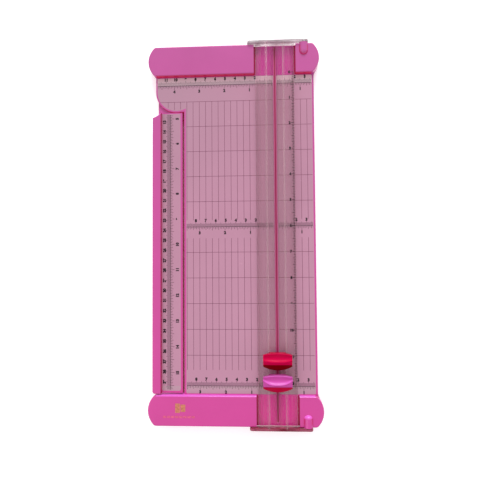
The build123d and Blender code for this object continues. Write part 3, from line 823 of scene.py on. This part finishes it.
def thumb_cap(name, node, ridge_middle, ridge_bow):
    """A hollow button: a dished top behind a curved ridge, a hollow front slope and a straight skirt."""
    low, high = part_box(node)
    middle_x, half_w = (low.x + high.x) / 2, (high.x - low.x) / 2
    columns, rows, front_rows = 44, 27, 9
    front_bow, back_bow = 0.3 * MM, 1.6 * MM  # how far the corners stand back from the middle
    ridge_drop, crease_drop, back_drop = 0.45 * MM, 3.5 * MM, 0.5 * MM  # below the button's top
    dish_depth = 1.9 * MM
    skirt, wall, edge_r = 1 * MM, 1.2 * MM, 0.5 * MM
    clear_selection()
    bpy.ops.mesh.primitive_grid_add(x_subdivisions=columns, y_subdivisions=rows, size=2)
    cap = bpy.context.object
    cap.name = name
    for vertex in cap.data.vertices:
        across, row = vertex.co.x, (vertex.co.y + 1) / 2 * rows
        front = low.y + front_bow * across**2
        ridge = low.y + ridge_middle + ridge_bow * abs(across) ** 3
        back = high.y - back_bow * across**2
        ridge_z = high.z - ridge_drop * across**2
        crease_z = high.z - crease_drop
        back_z = high.z - back_drop * (1 + 0.6 * across**2)
        if row <= front_rows:
            share = row / front_rows
            y = front + (ridge - front) * share
            z = crease_z + (ridge_z - crease_z) * share**1.5
        else:
            share = (row - front_rows) / (rows - front_rows)
            y = ridge + (back - ridge) * share
            hollow = dish_depth * (1 - 0.6 * across**4) * math.sin(math.pi * share**0.85)
            z = ridge_z + (back_z - ridge_z) * share - hollow
        vertex.co = (middle_x + across * half_w, y, z)
    pick(cap)
    bpy.ops.object.mode_set(mode="EDIT")
    bpy.ops.mesh.select_mode(type="EDGE")
    bpy.ops.mesh.select_all(action="DESELECT")
    bpy.ops.mesh.select_non_manifold()
    bpy.ops.mesh.extrude_region_move(TRANSFORM_OT_translate={"value": (0, 0, -skirt)})
    bpy.ops.object.mode_set(mode="OBJECT")
    for vertex in cap.data.vertices:
        if vertex.select:
            vertex.co.z = low.z
    pick(cap)
    bpy.ops.object.mode_set(mode="EDIT")
    bpy.ops.mesh.select_all(action="SELECT")
    bpy.ops.mesh.normals_make_consistent(inside=False)
    bpy.ops.object.mode_set(mode="OBJECT")
    round_edges(cap, edge_r, 3, 42)
    apply_modifier(cap, "SOLIDIFY", thickness=wall, offset=-1)
    return cap


class SCORING_OT_carriages(bpy.types.Operator):
    """Model and finish the cutting and the scoring carriage"""

    bl_idname = "scoring.carriages"
    bl_label = "Carriages"

    def execute(self, context):
        colours = context.scene.board_colours
        cutter_lit, scorer_lit = (0.6, 0.0, 0.06), (0.7, 0.12, 0.55)
        # colours of the button, its lit walls (painted highlight) and its nose (painted shade), shine, slot,
        # then the ridge's place and bow
        cutter = (colours.cutter, cutter_lit, colours.cutter_nose, 0.04, "cutter_red", 3.0 * MM, 1.8 * MM)
        scorer = (colours.scorer, scorer_lit, colours.scorer_nose, 0.2, "scorer_pink", 2.4 * MM, 4.6 * MM)
        for kind, settings in (("cutter", cutter), ("scorer", scorer)):
            colour, lit, nose_shade_colour, shine, slot, ridge_middle, ridge_bow = settings
            red, green, blue = colour
            # painted shade: this deeper copy of the button's colour goes on the button's walls and on the
            # shoe's top faces
            deep = (red * 0.75, green * 0.1, blue * 0.25)
            plastic = moulded(
                kind + " plastic", colour, colour, deep, lit, roughness=0.3, shine=shine, walls=(0.0, 0.55)
            )
            nose = moulded(
                kind + " nose plastic",
                deep,
                deep,
                nose_shade_colour,
                lit,
                roughness=0.35,
                shine=0.04,
                walls=(0.8, 0.97),
            )
            cap = thumb_cap(kind + "_button_shell", kind + "_cap", ridge_middle, ridge_bow)
            dress(cap, plastic, kind + "_button")
            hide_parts(kind + "_cap")
            shoe = merged_copy(kind + "_carriage_shoe", kind + "_shoe")
            round_edges(shoe, 0.25 * MM, 2)
            dress(shoe, nose, kind)
            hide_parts(kind + "_shoe")
        # painted shade: the white holders and the tip are darker on their upright faces
        holder_top, holder_shaded_side = (0.75, 0.73, 0.7), (0.62, 0.6, 0.58)
        white = moulded("holder plastic", holder_top, holder_top, holder_shaded_side, roughness=0.35)
        cover(white, "cutter_blade_holder", "scorer_tip_holder")
        tip_top, tip_shaded_side = (0.8, 0.78, 0.74), (0.7, 0.68, 0.64)
        cover(moulded("tip plastic", tip_top, tip_top, tip_shaded_side, roughness=0.3), "scorer_tip")
        return {"FINISHED"}


class SCORING_OT_springs(bpy.types.Operator):
    """Wind the return springs under both buttons"""

    bl_idname = "scoring.springs"
    bl_label = "Springs"

    def execute(self, context):
        wire = metal("spring wire", (0.5, 0.49, 0.47), 0.25)
        wire_r, turns = 0.25 * MM, 6
        wire_sides, turn_steps = 10, 28
        for kind in ("cutter", "scorer"):
            low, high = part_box(kind + "_springs")
            middle_y = (low.y + high.y) / 2
            coil_r = (high.y - low.y) / 2 - wire_r
            lift = (high.z - low.z - 2 * wire_r) / turns
            coils = []
            for x in (low.x + coil_r + wire_r, high.x - coil_r - wire_r):
                clear_selection()
                bpy.ops.mesh.primitive_circle_add(
                    vertices=wire_sides, radius=wire_r, location=(coil_r, 0, 0), rotation=(math.pi / 2, 0, 0)
                )
                coil = bpy.context.object
                apply_place(coil)
                apply_modifier(
                    coil,
                    "SCREW",
                    axis="Z",
                    angle=2 * math.pi,
                    screw_offset=lift,
                    iterations=turns,
                    steps=turn_steps,
                    render_steps=turn_steps,
                    use_merge_vertices=True,
                )
                pick(coil)
                bpy.ops.object.mode_set(mode="EDIT")
                bpy.ops.mesh.select_all(action="DESELECT")
                bpy.ops.mesh.select_mode(type="EDGE")
                bpy.ops.mesh.select_non_manifold()
                bpy.ops.mesh.edge_face_add()
                bpy.ops.mesh.select_all(action="SELECT")
                bpy.ops.mesh.normals_make_consistent(inside=False)
                bpy.ops.object.mode_set(mode="OBJECT")
                put(coil, 0, (x, middle_y, low.z + wire_r))
                coils.append(coil)
            springs = join(kind + "_return_springs", coils)
            pick(springs)
            bpy.ops.object.shade_smooth_by_angle(angle=math.radians(50))
            dress(springs, wire, kind)
            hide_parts(kind + "_springs")
            room = high.z - SPRING_SEAT_Z
            travel = next(j for j in frame["joints"] if j["name"] == kind + PRESS)["range_m"][1]
            (room - travel) / room
            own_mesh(springs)
        return {"FINISHED"}


class SCORING_OT_sheet_mark(bpy.types.Operator):
    """Print a plain folded-sheet mark on the near bar"""

    bl_idname = "scoring.sheet_mark"
    bl_label = "Sheet mark"

    def execute(self, context):
        x, y = -53.5 * MM, -(FENCE_Y + 12 * MM)
        fold = 0.3 * MM
        wide, tall, short = 5 * MM, 4.5 * MM, 3.5 * MM
        pages = [(x - wide, x - fold, y - tall, y + tall), (x + fold, x + wide, y - short, y + short)]
        sheet = printed("folded_sheet", pages, BAR_TOP_Z)
        dress(sheet, ink("sheet ink", (0.44, 0.15, 0.09)), "base")
        dash_x, dash_y = x - 17 * MM, y - 8.5 * MM
        dash_l, dash_half_w, dash_step, dash_count = 3.2 * MM, 1 * MM, 4 * MM, 8
        dash = (dash_x, dash_x + dash_l, dash_y - dash_half_w, dash_y + dash_half_w)
        score = printed("score_dashes", [dash], BAR_TOP_Z)
        repeat(score, (dash_step, 0, 0), dash_count)
        dress(score, ink("score ink", (0.52, 0.075, 0.17)), "base")
        return {"FINISHED"}


class SCORING_OT_stage(bpy.types.Operator):
    """Set the pale floor, the soft lights and the camera"""

    bl_idname = "scoring.stage"
    bl_label = "Stage"

    def execute(self, context):
        clear_selection()
        bpy.ops.mesh.primitive_plane_add(size=6)
        floor = context.object
        floor.name = "floor"
        f = Finish("floor paper")
        # the floor glows faintly around the board, and not under it
        paper = f.noise(6.0, 3.0).between(0.3, 0.7)
        shade = f.mix(paper, (0.93, 0.93, 0.93, 1), (0.96, 0.96, 0.96, 1))
        beside = f.axis("X").size().between(56 * MM, 70 * MM)
        beyond = f.axis("Y").size().between(160 * MM, 175 * MM)
        under = (1 - beside) * (1 - beyond)
        floor.data.materials.append(
            f.done(
                f.principled(
                    Base_Color=shade,
                    Roughness=0.9,
                    Specular_IOR_Level=0.0,
                    Emission_Color=f.mix(under, shade, tone((0, 0, 0))),
                    Emission_Strength=0.35,
                )
            )
        )

        world = bpy.data.worlds.new("studio")
        world.use_nodes = True
        world.node_tree.nodes["Background"].inputs["Color"].default_value = (1, 0.985, 0.99, 1)
        world.node_tree.nodes["Background"].inputs["Strength"].default_value = 0.78
        context.scene.world = world

        # name, place in metres, width in metres, power in watts
        for name, place, size, power in (
            ("key", (0.1, 1.4, 0.95), 0.7, 17.0),
            ("fill", (-0.9, -0.6, 1.2), 0.8, 2.5),
        ):
            bpy.ops.object.light_add(type="AREA", location=place)
            light = context.object
            light.name = name
            light.data.shape = "DISK"
            light.data.size = size
            light.data.energy = power
            light.rotation_euler = (-Vector(place)).to_track_quat("-Z", "Y").to_euler()

        eye = Vector((36.626, -32.191, 524.09)) * MM
        target = Vector((5.576, -7.094, 9.0)) * MM
        roll = -0.007
        forward = (target - eye).normalized()
        level = forward.cross(Vector((0, 1, 0))).normalized()
        upright = level.cross(forward)
        right = level * math.cos(roll) + upright * math.sin(roll)
        up = upright * math.cos(roll) - level * math.sin(roll)
        bpy.ops.object.camera_add()
        camera = context.object
        camera.matrix_world = Matrix.Translation(eye) @ Matrix((right, up, -forward)).transposed().to_4x4()
        camera.data.lens = 39.0
        camera.data.sensor_width = 36.0
        camera.data.clip_start = 0.01
        context.scene.camera = camera
        context.scene.view_settings.view_transform = "Standard"
        return {"FINISHED"}


PIECES = (
    SCORING_OT_mouldings,
    SCORING_OT_grid,
    SCORING_OT_cross_rulers,
    SCORING_OT_arm_scale,
    SCORING_OT_rail,
    SCORING_OT_carriages,
    SCORING_OT_springs,
    SCORING_OT_sheet_mark,
    SCORING_OT_stage,
)


class SCORING_PT_panel(bpy.types.Panel):
    """Colours, sizes and pieces of the board"""

    bl_idname = "SCORING_PT_panel"
    bl_label = "Scoring Board"
    bl_space_type = "VIEW_3D"
    bl_region_type = "UI"
    bl_category = "Scoring Board"

    def draw(self, context):
        for settings in (context.scene.board_colours, context.scene.print_sizes):
            box = self.layout.box()
            for name in settings.__annotations__:
                box.prop(settings, name)
        for piece in PIECES:
            self.layout.operator(piece.bl_idname)


CLASSES = (BoardColours, PrintSizes, *PIECES, SCORING_PT_panel)


def register():
    for kind in CLASSES:
        bpy.utils.register_class(kind)
    bpy.types.Scene.board_colours = bpy.props.PointerProperty(type=BoardColours)
    bpy.types.Scene.print_sizes = bpy.props.PointerProperty(type=PrintSizes)


def unregister():
    del bpy.types.Scene.print_sizes
    del bpy.types.Scene.board_colours
    for kind in reversed(CLASSES):
        bpy.utils.unregister_class(kind)


def main():
    register()
    bpy.ops.scoring.mouldings()
    bpy.ops.scoring.grid()
    bpy.ops.scoring.cross_rulers()
    bpy.ops.scoring.arm_scale()
    bpy.ops.scoring.rail()
    bpy.ops.scoring.carriages()
    bpy.ops.scoring.springs()
    bpy.ops.scoring.sheet_mark()
    bpy.ops.scoring.stage()


if __name__ == "__main__":
    main()
